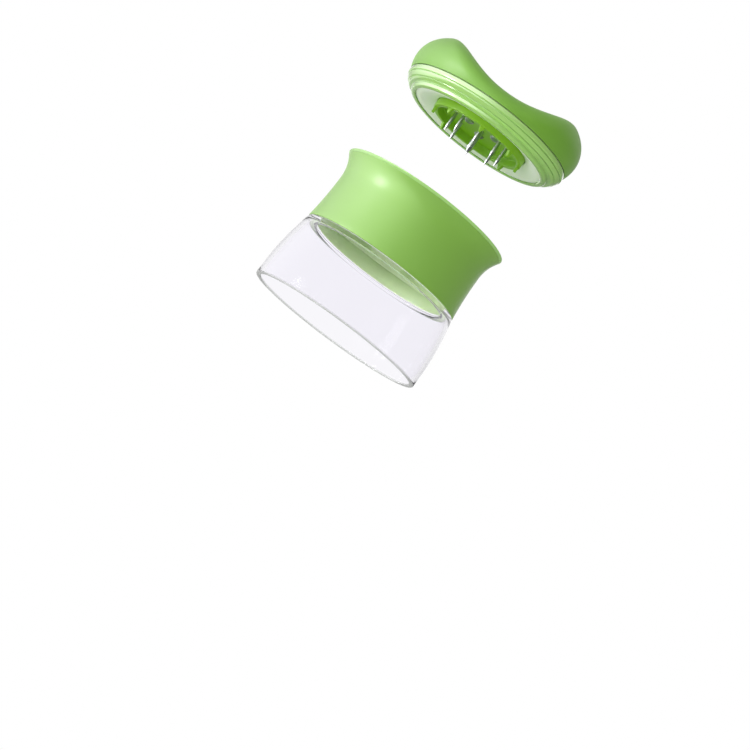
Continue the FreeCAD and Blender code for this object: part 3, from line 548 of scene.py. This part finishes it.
def makeCup():
    footRadius, bottom, neckTop = boxOf("clear_cup")
    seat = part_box("grip_sleeve")[0].z / mm
    shoulder = seat - cup["gap"]
    flare = footRadius - cup["topRadius"]
    rise = shoulder - bottom - cup["footHeight"]
    bell = (flare * flare + rise * rise) / (flare * 2)
    foot = (footRadius, bottom + cup["footHeight"])
    wall = bendCurve(foot, -1, bell, evenRises(0, rise, cup["bellSteps"]))
    boreFoot = (footRadius - cup["wall"], foot[1])
    bore = bendCurve(boreFoot, -1, bell - cup["wall"], evenRises(0, rise - cup["shoulder"], cup["bellSteps"]))
    bead = seat + cup["beadRise"]
    neck = cup["neckRadius"]
    neckInner = neck - cup["neckWall"]
    boreShoulder = shoulder - cup["shoulder"]
    section = [
        (footRadius, bottom, cup["edge"]),
        *wall[:-1],
        (*wall[-1], cup["shoulderEdge"]),
        (neck, shoulder),
        (neck, bead),
        (neck + cup["beadDepth"], bead + cup["beadWidth"] / 2, cup["neckEdge"]),
        (neck, bead + cup["beadWidth"]),
        (neck, neckTop, cup["neckEdge"]),
        (neckInner, neckTop, cup["neckEdge"]),
        (neckInner, boreShoulder, cup["boreEdge"]),
        (*bore[-1], cup["edge"]),
        *reversed(bore[:-1]),
        (footRadius - cup["footWidth"], bottom, cup["edge"]),
    ]
    piece = turned("clearCup", section, sides["skin"])
    piece.visible_shadow = False        # clear plastic lets the light through to the pieces behind it
    setPiece(piece, clearSan, "body", "cup_plastic", "clear_cup")


# The collar: a rigid shell under a soft waisted sleeve, with the funnel's rim on top. The seam is the small
# rounding where sleeve and rim meet.
collar = {
    "rimRadius": 41.5, "waistRadius": 37.5, "waistRise": 22.0, "footFlare": 1.4, "sleeve": 1.3, "shell": 1.3,
    "edge": 0.5, "seam": 0.15, "boreEdge": 0.3, "lowerSteps": 8, "upperSteps": 16,
}


def collarSkin(bottom, top, inset):
    # the waisted outline between two heights, on the surface that lies inset under the collar's skin
    _, _, rimTop = boxOf("feed_funnel")
    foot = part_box("grip_sleeve")[0].z / mm
    waist = (collar["waistRadius"] - inset, foot + collar["waistRise"])
    rimFlare = collar["rimRadius"] - collar["waistRadius"]
    rimRise = rimTop - waist[1]
    upper = (rimFlare * rimFlare + rimRise * rimRise) / (rimFlare * 2) + inset
    footRise = collar["waistRise"]
    lower = (collar["footFlare"] ** 2 + footRise ** 2) / (collar["footFlare"] * 2) + inset
    points = []
    if bottom < waist[1]:
        points += bendCurve(waist, 1, lower, evenRises(bottom - waist[1], 0, collar["lowerSteps"]))
    if top > waist[1]:
        start = max(bottom - waist[1], 0)
        above = bendCurve(waist, 1, upper, evenRises(start, top - waist[1], collar["upperSteps"]))
        points += above[1:] if points else above
    return points


def makeGripSleeve():
    _, bottom, top = boxOf("grip_sleeve")
    skin = collarSkin(bottom, top, 0)
    inside = collarSkin(bottom, top, collar["sleeve"])
    section = [
        (*skin[0], collar["edge"]),
        *skin[1:-1],
        (*skin[-1], collar["seam"]),
        *reversed(inside),
    ]
    setPiece(turned("gripSleeve", section, sides["skin"]), softGrip, "body", "soft_grip", "grip_sleeve")


def makeCollarShell():
    _, bottom, top = boxOf("collar_shell")
    skin = collarSkin(bottom, top, collar["sleeve"])
    bore = collar["waistRadius"] - collar["sleeve"] - collar["shell"]
    bead = bottom + cup["beadRise"]
    waistHeight = bottom + collar["waistRise"]
    inside = collarSkin(waistHeight, top, collar["sleeve"] + collar["shell"])
    section = [
        *skin,
        *reversed(inside),
        (bore, bead + cup["beadWidth"]),
        (bore + cup["beadDepth"], bead + cup["beadWidth"] / 2),
        (bore, bead),
        (bore, bottom, collar["boreEdge"]),
    ]
    setPiece(turned("collarShell", section), shellPaintedLightAbs, "body", "shell_plastic", "collar_shell")


# The funnel, whose top is the collar's rim and whose flange carries the blade floor.
funnel = {
    "edge": 0.5, "rimWidth": 4.6, "mouthDepth": 3.0, "mouthEdge": 0.3, "ledge": 3.1, "inner": 0.35,
    "wall": 1.3, "throatRadius": 29.0, "flange": 2.0, "flangeWidth": 4.4,
}


def makeFeedFunnel():
    _, bottom, top = boxOf("feed_funnel")
    rimRadius = collar["rimRadius"]
    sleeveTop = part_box("grip_sleeve")[1].z / mm
    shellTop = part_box("collar_shell")[1].z / mm
    mouth = rimRadius - funnel["rimWidth"]
    ledge = mouth - funnel["ledge"]
    mouthBottom = top - funnel["mouthDepth"]
    throat = funnel["throatRadius"]
    rimSkin = collarSkin(sleeveTop, top, 0)
    hidden = collarSkin(shellTop, sleeveTop, collar["sleeve"])
    section = [
        (*rimSkin[0], collar["seam"]),
        (rimRadius, top, funnel["edge"]),
        (mouth, top, funnel["edge"]),
        (mouth, mouthBottom, funnel["mouthEdge"]),
        (ledge, mouthBottom, funnel["inner"]),
        (throat, bottom + funnel["flange"], funnel["inner"]),
        (throat, bottom),
        (throat + funnel["flangeWidth"], bottom),
        (throat + funnel["flangeWidth"], bottom + funnel["flange"]),
        (throat + funnel["wall"], bottom + funnel["flange"]),
        (ledge + funnel["wall"], shellTop - funnel["wall"]),
        (ledge + funnel["wall"], shellTop),
        *hidden,
    ]
    setPiece(turned("feedFunnel", section, sides["skin"]), satinRim, "body", "rim_plastic", "feed_funnel")


makeCup()
makeGripSleeve()
makeCollarShell()
makeFeedFunnel()
print("collar and cup done")


# The core cutter: a thin tube, ground to an edge at its top.
coreTube = {"wall": 0.7, "bevel": 1.4, "flange": 0.9, "edge": 0.2}


def makeCoreCutter():
    flangeRadius, bottom, top = boxOf("core_cutter")
    tube = flangeRadius - coreTube["wall"]
    bore = tube - coreTube["wall"]
    section = [
        (flangeRadius, bottom, coreTube["edge"]),
        (flangeRadius, bottom + coreTube["flange"]),
        (tube, bottom + coreTube["flange"]),
        (tube, top - coreTube["bevel"]),
        (bore, top),
        (bore, bottom, coreTube["edge"]),
    ]
    setPiece(turned("coreCutter", section, sides["tube"]), turnedSteel, "body", "blade_steel", "core_cutter")


makeCoreCutter()

# The holder's ring: a plate with two glossy bands, a groove between them, and a lip that drops into the
# collar. The lower band tapers inwards, and a fine groove parts a narrow bead from it.
ring = {
    "height": 5.4, "band": 2.2, "topEdge": 0.15, "edge": 0.6, "groove": 0.45, "grooveDepth": 0.9,
    "lowerStep": 0.5, "lowerEdge": 0.3, "taper": 2.8, "bulge": 8.0, "beadSteps": 3, "bandSteps": 5,
    "fineShares": (0.36, 0.46), "fineDepth": 0.35, "fineEdge": 0.12, "plate": 1.8, "lipRadius": 36.5,
    "lipWall": 2.4, "lipEdge": 1.1, "lipRoot": 0.25, "bead": 0.6, "beadEdge": 0.15, "ledge": 2.4, "play": 0.3,
    "innerEdge": 0.2,
}


def bulgePoints(first, last, radius, shares):
    # points at the given shares of a round bend between two corners that bulges outwards
    chord = Vector(last) - Vector(first)
    inwards = Vector((-chord.y, chord.x)).normalized()
    centre = Vector(first) + chord / 2 + inwards * math.sqrt(radius * radius - chord.length_squared / 4)
    start = Vector(first) - centre
    end = Vector(last) - centre
    return [tuple(centre + start.slerp(end, share) * radius) for share in shares]


# The guard disc: a flat land that runs on the ring's ledge, dished up towards the hub.
disc = {"thickness": 1.2, "landInset": 2.4, "edge": 0.3, "backEdge": 0.2, "bend": 0.8}


def makeHolderRing():
    radius, lipBottom, top = boxOf("holder_ring")
    _, discBottom, _ = boxOf("guard_disc")
    cavityTop = discBottom + disc["thickness"] + ring["play"]
    bandBottom = top - ring["band"]
    grooveBottom = bandBottom - ring["groove"]
    grooveRadius = radius - ring["grooveDepth"]
    lowerRadius = radius - ring["lowerStep"]
    bottom = top - ring["height"]
    foot = (lowerRadius - ring["taper"], bottom)
    lowerTop = (lowerRadius, grooveBottom)
    fineLow, fineHigh = ring["fineShares"]
    bead = bulgePoints(foot, lowerTop, ring["bulge"], evenRises(0, fineLow, ring["beadSteps"]))
    band = bulgePoints(foot, lowerTop, ring["bulge"], evenRises(fineHigh, 1, ring["bandSteps"]))
    lip = ring["lipRadius"]
    lipInner = lip - ring["lipWall"]
    cavity = lipInner - ring["ledge"]
    plateBottom = top - ring["plate"]
    section = [
        (0, plateBottom),
        (cavity, plateBottom),
        (cavity, cavityTop),
        (lipInner, cavityTop),
        (lipInner, discBottom - ring["play"]),
        (lipInner - ring["bead"], discBottom - ring["play"], ring["beadEdge"]),
        (lipInner, lipBottom, ring["innerEdge"]),
        (lip, lipBottom, ring["lipEdge"]),
        (lip, bottom, ring["lipRoot"]),
        (*foot, ring["lowerEdge"]),
        *bead[1:-1],
        (*bead[-1], ring["fineEdge"]),
        (bead[-1][0] - ring["fineDepth"], bead[-1][1]),
        (bead[-1][0] - ring["fineDepth"], band[0][1]),
        (*band[0], ring["fineEdge"]),
        *band[1:-1],
        (*lowerTop, ring["innerEdge"]),
        (grooveRadius, grooveBottom),
        (grooveRadius, bandBottom),
        (radius, bandBottom, ring["edge"]),
        (radius, top, ring["topEdge"]),
        (0, top),
    ]
    setPiece(turned("holderRing", section, sides["skin"]), glossLime, "holder", "ring_plastic", "holder_ring")


def makeGuardDisc():
    outer, bottom, top = boxOf("guard_disc")
    inner = boxOf("gripper_hub")[0] + ring["play"]
    land = outer - disc["landInset"]
    section = [
        (outer, bottom, disc["edge"]),
        (outer, bottom + disc["thickness"], disc["backEdge"]),
        (land, bottom + disc["thickness"], disc["bend"]),
        (inner, top, disc["backEdge"]),
        (inner, top - disc["thickness"], disc["edge"]),
        (land, bottom, disc["bend"]),
    ]
    piece = turned("guardDisc", section, sides["skin"])
    setPiece(piece, paleDisc, "holder_carriage", "disc_plastic", "guard_disc")


# The gripper hub: a hollow drum with eight teeth round its rim.
hub = {
    "wall": 2.4, "ceiling": 2.2, "edge": 0.35, "recessEdge": 0.5, "teeth": 8, "toothWidth": 3.0,
    "toothHeight": 2.6, "toothTip": 0.7, "toothTaper": 0.8, "toothInset": 0.4, "toothEdge": 0.15,
    "toothSteps": 3,
}


def rotateAbout(angle):
    # transform.rotate turns the other way without a window, so the angle is negated
    bpy.ops.transform.rotate(value=-angle, orient_axis="Z", center_override=(0, 0, 0))


def applyPlace():
    bpy.ops.object.transform_apply(location=True, rotation=True, scale=True)


def joinPieces(pieces):
    bpy.ops.object.select_all(action="DESELECT")
    for piece in pieces:
        piece.select_set(True)
    bpy.context.view_layer.objects.active = pieces[0]
    bpy.ops.object.join()
    return bpy.context.object


def copyRound(piece, count):
    # copies a piece round the tool's axis, each copy with its own mesh, and joins them
    copies = [piece]
    for number in range(1, count):
        selectOnly(piece)
        bpy.ops.object.duplicate()
        rotateAbout(2 * math.pi * number / count)
        applyPlace()
        copies.append(bpy.context.object)
    return joinPieces(copies)


def selectFaces(piece, test):
    bpy.ops.object.mode_set(mode="EDIT")
    bpy.ops.mesh.select_mode(type="FACE")
    bpy.ops.mesh.select_all(action="DESELECT")
    bpy.ops.object.mode_set(mode="OBJECT")
    for face in piece.data.polygons:
        face.select = test(face)
    bpy.ops.object.mode_set(mode="EDIT")


def makeTooth(radius, drumBottom):
    # a wedge that tapers to a narrow tip, rounded on its edges
    depth = hub["wall"] - hub["toothInset"] * 2
    bpy.ops.object.select_all(action="DESELECT")
    bpy.ops.mesh.primitive_cube_add(size=mm)
    tooth = bpy.context.object
    tooth.name = "hubTooth"
    tooth.scale = (depth, hub["toothWidth"], hub["toothHeight"] + hub["toothInset"])
    middle = drumBottom + (hub["toothInset"] - hub["toothHeight"]) / 2
    wallMiddle = (radius - hub["wall"] / 2) * mm
    tooth.location = (wallMiddle, 0, middle * mm)
    applyPlace()
    selectFaces(tooth, lambda face: face.normal.z < -0.5)
    share = hub["toothTip"] / hub["toothWidth"]
    bpy.ops.transform.resize(value=(hub["toothTaper"], share, 1), center_override=(wallMiddle, 0, 0))
    bpy.ops.mesh.select_mode(type="EDGE")
    bpy.ops.mesh.select_all(action="SELECT")
    bpy.ops.mesh.bevel(offset=hub["toothEdge"] * mm, segments=hub["toothSteps"], affect="EDGES")
    bpy.ops.object.mode_set(mode="OBJECT")
    bpy.ops.object.shade_smooth_by_angle(angle=crease)
    return tooth


def makeGripperHub():
    radius, toothBottom, top = boxOf("gripper_hub")
    bottom = toothBottom + hub["toothHeight"]
    recess = radius - hub["wall"]
    ceiling = top - hub["ceiling"]
    section = [
        (0, ceiling),
        (recess, ceiling, hub["recessEdge"]),
        (recess, bottom, hub["edge"]),
        (radius, bottom, hub["edge"]),
        (radius, top),
        (0, top),
    ]
    drum = turned("gripperHub", section)
    teeth = copyRound(makeTooth(radius, bottom), hub["teeth"])
    piece = joinPieces([drum, teeth])
    setPiece(piece, hubNylon, "holder", "hub_plastic", "gripper_hub")


# The pins and the spike are turned and pointed, and stand in the hub's ceiling.
pins = {
    "circle": 13.5, "count": 8, "radius": 0.8, "point": 2.6, "tip": 0.12, "shoulder": 0.4, "spikeRadius": 1.3,
}


def pointedPin(name, radius, bottom, top):
    shoulder = (radius, bottom + pins["point"], pins["shoulder"])
    section = [(0, top), (radius, top), shoulder, (pins["tip"], bottom), (0, bottom)]
    return turned(name, section, sides["pin"])


def makePins():
    _, bottom, top = boxOf("gripper_pins")
    pin = pointedPin("gripperPins", pins["radius"], bottom, top)
    bpy.ops.transform.translate(value=(pins["circle"] * mm, 0, 0))
    applyPlace()
    setPiece(copyRound(pin, pins["count"]), turnedSteel, "holder", "blade_steel", "gripper_pins")
    _, bottom, top = boxOf("centre_spike")
    spike = pointedPin("centreSpike", pins["spikeRadius"], bottom, top)
    setPiece(spike, turnedSteel, "holder", "blade_steel", "centre_spike")


makeHolderRing()
makeGuardDisc()
makeGripperHub()
makePins()
print("holder ring, disc and hub done")


# The handle: a round cushion with a saddle across its top, in a soft skin.
handle = {
    "sideRadius": 43.2, "footStep": 1.7, "sideHeight": 6.9, "sideSteps": 8, "corner": 12.9, "cornerStep": 9,
    "saddleHeight": 7.5, "saddleRadius": 42.0, "saddleSides": 256, "skin": 2.0, "skirt": 3.0, "voxel": 0.6,
    "easing": 24, "easingShare": 0.5, "crease": 40,
}


def addModifier(piece, kind, settings):
    selectOnly(piece)
    modifier = piece.modifiers.new(kind.title(), kind)
    for name, value in settings.items():
        setattr(modifier, name, value)
    bpy.ops.object.modifier_apply(modifier=modifier.name)


def makeHandle():
    _, bottom, top = boxOf("handle_grip")
    side = handle["sideRadius"]
    foot = side - handle["footStep"]
    corner = handle["corner"]
    sideTop = bottom + handle["sideHeight"]
    bulge = (handle["footStep"] ** 2 + handle["sideHeight"] ** 2) / (handle["footStep"] * 2)
    wall = bendCurve((side, sideTop), -1, bulge, evenRises(-handle["sideHeight"], 0, handle["sideSteps"]))
    step = handle["cornerStep"]
    turns = [math.radians(turn) for turn in range(step, 90 + step, step)]
    shoulder = [(side - corner + corner * math.cos(turn), sideTop + corner * math.sin(turn))
                for turn in turns]
    skirt = bottom - handle["skirt"]
    section = [(0, skirt), (foot, skirt), *wall, *shoulder, (0, sideTop + corner)]
    cushion = turned("handleGrip", section, sides["skin"])
    bpy.ops.object.select_all(action="DESELECT")
    bpy.ops.mesh.primitive_cylinder_add(
        vertices=handle["saddleSides"], radius=handle["saddleRadius"] * mm, depth=side * 3 * mm,
    )
    saddle = bpy.context.object
    saddle.rotation_euler = (math.radians(90), 0, 0)
    saddle.location.z = (bottom + handle["saddleHeight"] + handle["saddleRadius"]) * mm
    applyPlace()
    addModifier(cushion, "BOOLEAN", {"operation": "DIFFERENCE", "solver": "EXACT", "object": saddle})
    bpy.data.objects.remove(saddle)
    # an even skin of small faces, eased over the saddle's edges and laid on the frame's own form
    addModifier(cushion, "REMESH", {"mode": "VOXEL", "voxel_size": handle["voxel"] * mm})
    bpy.ops.object.mode_set(mode="EDIT")
    bpy.ops.mesh.select_all(action="SELECT")
    bpy.ops.mesh.bisect(plane_co=(0, 0, bottom * mm), plane_no=(0, 0, 1), clear_inner=True)
    bpy.ops.object.mode_set(mode="OBJECT")
    addModifier(cushion, "SMOOTH", {"factor": handle["easingShare"], "iterations": handle["easing"]})
    addModifier(cushion, "SHRINKWRAP", {
        "target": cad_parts["handle_grip"], "wrap_method": "NEAREST_SURFACEPOINT",
    })
    addModifier(cushion, "SOLIDIFY", {"thickness": handle["skin"] * mm, "offset": -1})
    bpy.ops.object.shade_smooth_by_angle(angle=math.radians(handle["crease"]))
    setPiece(cushion, softHandle, "holder", "soft_grip", "handle_grip")


makeHandle()
print("handle done")

# Pan head screws with a cross recess, and domed rivets. Each node's screws are alike, with their heads down.
fastener = {
    "headRadius": 2.4, "headHeight": 1.5, "headEdge": 0.12, "rim": 0.45, "shankRadius": 1.3, "point": 0.5,
    "domeSteps": 6, "crossReach": 1.25, "crossWidth": 0.5, "crossDepth": 0.9, "crossTaper": (0.45, 0.7),
    "rivetHead": 1.7, "rivetRadius": 1.0, "rivetHeight": 0.5, "rivetRim": 0.12, "rivetEdge": 0.1,
    "rivetSteps": 5,
}


def domePoints(radius, rim, height, steps):
    # a shallow dome from the head's rim to its middle, as heights above the head's seat
    rise = height - rim
    sphere = (radius * radius + rise * rise) / (rise * 2)
    reach = math.asin(radius / sphere)
    turns = [reach * (1 - step / steps) for step in range(steps + 1)]
    return [(sphere * math.sin(turn), rim + sphere * math.cos(turn) - sphere + rise) for turn in turns]


def crossCutter(headBottom):
    # two tapered bars across each other, which sink the recess into the head
    bars = []
    for angle in (0, math.pi / 2):
        bpy.ops.object.select_all(action="DESELECT")
        bpy.ops.mesh.primitive_cube_add(size=mm)
        bar = bpy.context.object
        reach = fastener["crossReach"] * 2
        bar.scale = (reach, fastener["crossWidth"], fastener["crossDepth"] * 2)
        bar.location.z = headBottom * mm
        applyPlace()
        selectFaces(bar, lambda face: face.normal.z > 0.5)
        bpy.ops.transform.resize(value=(*fastener["crossTaper"], 1), center_override=(0, 0, 0))
        bpy.ops.object.mode_set(mode="OBJECT")
        rotateAbout(angle)
        applyPlace()
        bars.append(bar)
    addModifier(bars[0], "BOOLEAN", {"operation": "UNION", "solver": "EXACT", "object": bars[1]})
    bpy.data.objects.remove(bars[1])
    return bars[0]


def makeScrew(name, seat, tip):
    dome = domePoints(fastener["headRadius"], fastener["rim"], fastener["headHeight"], fastener["domeSteps"])
    shank = fastener["shankRadius"]
    section = [
        (0, tip),
        (shank - fastener["point"], tip),
        (shank, tip - fastener["point"]),
        (shank, seat),
        (fastener["headRadius"], seat, fastener["headEdge"]),
        *[(radius, seat - height) for radius, height in dome],
    ]
    screw = turned(name, section, sides["screw"])
    cross = crossCutter(seat - fastener["headHeight"])
    addModifier(screw, "BOOLEAN", {"operation": "DIFFERENCE", "solver": "EXACT", "object": cross})
    bpy.data.objects.remove(cross)
    bpy.ops.object.shade_smooth_by_angle(angle=crease)
    return screw


def copyTo(piece, name, places):
    # copies a piece to each place, each copy with its own mesh, and joins them
    copies = []
    for x, y in places:
        selectOnly(piece)
        bpy.ops.object.duplicate()
        bpy.ops.transform.translate(value=(x * mm, y * mm, 0))
        applyPlace()
        copies.append(bpy.context.object)
    bpy.data.objects.remove(piece)
    joined = joinPieces(copies)
    joined.name = joined.data.name = name
    return joined


def onCircle(radius, *angles):
    turns = [math.radians(angle) for angle in angles]
    return [(radius * math.cos(turn), radius * math.sin(turn)) for turn in turns]


# where each node's screws stand, in mm from the tool's axis
screwPlaces = {
    "blade_screws": [(-10.0, 13.2), (-23.0, 13.2)],
    "carrier_screws": onCircle(31.2, 90, 210, 330),
    "hub_screws": onCircle(8.0, 90, 210, 330),
    "ring_screws": onCircle(27.6, 20, 160, 200, 340),
}
rivetPlaces = [(-7.9, -2.3), (-26.5, -2.3)]


def makeFasteners():
    for node, places in screwPlaces.items():
        _, low, high = boxOf(node)
        body = "holder" if node in ("hub_screws", "ring_screws") else "body"
        screw = makeScrew("screw", low + fastener["headHeight"], high)
        group = copyTo(screw, node.replace("_s", "S"), places)
        setPiece(group, turnedSteel, body, "fastener_steel", node)
    _, low, high = boxOf("comb_rivets")
    seat = high - fastener["rivetHeight"]
    dome = domePoints(
        fastener["rivetHead"], fastener["rivetRim"], fastener["rivetHeight"], fastener["rivetSteps"],
    )
    section = [
        (0, low),
        (fastener["rivetRadius"], low, fastener["rivetEdge"]),
        (fastener["rivetRadius"], seat),
        (fastener["rivetHead"], seat),
        *[(radius, seat + height) for radius, height in dome],
    ]
    rivets = copyTo(turned("rivet", section, sides["pin"]), "combRivets", rivetPlaces)
    setPiece(rivets, turnedSteel, "body", "fastener_steel", "comb_rivets")


makeFasteners()
print("fasteners done")

# The blade floor and its blades keep the frame's own forms, with their sharp edges broken as a mould or a
# grinding wheel leaves them.
edged = {
    "blade_carrier": {"name": "bladeCarrier", "edge": 0.18, "finish": satinRim, "slot": "rim_plastic"},
    "slicing_blade": {"name": "slicingBlade", "edge": 0.04, "finish": bladeSteel, "slot": "blade_steel"},
    "comb_blade": {"name": "combBlade", "edge": 0.05, "finish": bladeSteel, "slot": "blade_steel"},
}
flatTurn = math.radians(0.5)        # faces that turn less than this are one
edgeTurn = math.radians(30)         # edges that turn more than this are broken


def makeEdged(node, look):
    selectOnly(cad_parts[node])
    bpy.ops.object.duplicate()
    piece = bpy.context.object
    piece.name = piece.data.name = look["name"]
    bpy.ops.object.mode_set(mode="EDIT")
    bpy.ops.mesh.select_all(action="SELECT")
    bpy.ops.mesh.remove_doubles(threshold=weld)
    bpy.ops.mesh.dissolve_limited(angle_limit=flatTurn)
    bpy.ops.object.mode_set(mode="OBJECT")
    addModifier(piece, "BEVEL", {
        "width": look["edge"] * mm, "segments": 2, "limit_method": "ANGLE", "angle_limit": edgeTurn,
        "use_clamp_overlap": True,
    })
    bpy.ops.object.shade_smooth_by_angle(angle=edgeTurn)
    setPiece(piece, look["finish"], "body", look["slot"], node)


for node, look in edged.items():
    makeEdged(node, look)
print("blade floor done")

# Nodes that keep their own shape get their finish here.
# the handle's core takes the shell's near-white colour, which is painted light
finishes = {"handle_core": shellPaintedLightAbs}
for node, material in finishes.items():
    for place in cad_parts[node].material_slots:
        place.material = material
print("frame nodes finished")
